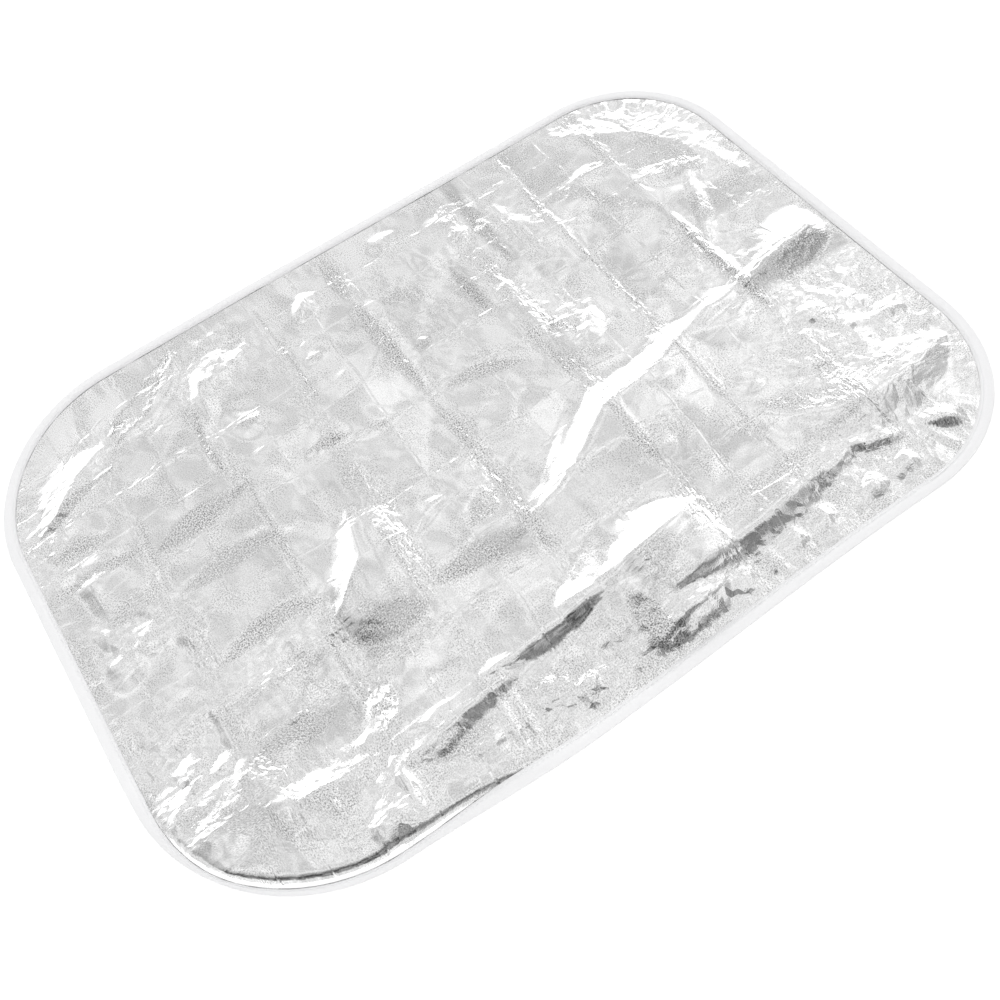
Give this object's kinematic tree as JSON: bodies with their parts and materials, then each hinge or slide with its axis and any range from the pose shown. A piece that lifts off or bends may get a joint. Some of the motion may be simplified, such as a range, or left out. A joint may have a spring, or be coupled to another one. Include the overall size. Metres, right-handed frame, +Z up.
{
  "type": "car seat sun cover",
  "caption": "Reflective sun cover for a child car seat: a crinkled silver cloth sheet with rounded corners, bound all round with a folded white tape, lying unfolded.",
  "frame": {"origin": "centre of the cover's plan, on the surface that it lies on", "axes": "+X along the cover's length, +Y across its width away from the turned rim, +Z up from the surface that it lies on"},
  "size_m": [0.8502, 0.6201, 0.0289],
  "materials": {
    "silver_cloth": "metallised silver, crinkled, with a fine grain",
    "white_tape": "matt woven tape"
  },
  "bodies": {
    "root": {"cover_sheet": "silver_cloth", "edge_binding": "white_tape"}
  },
  "joints": []
}
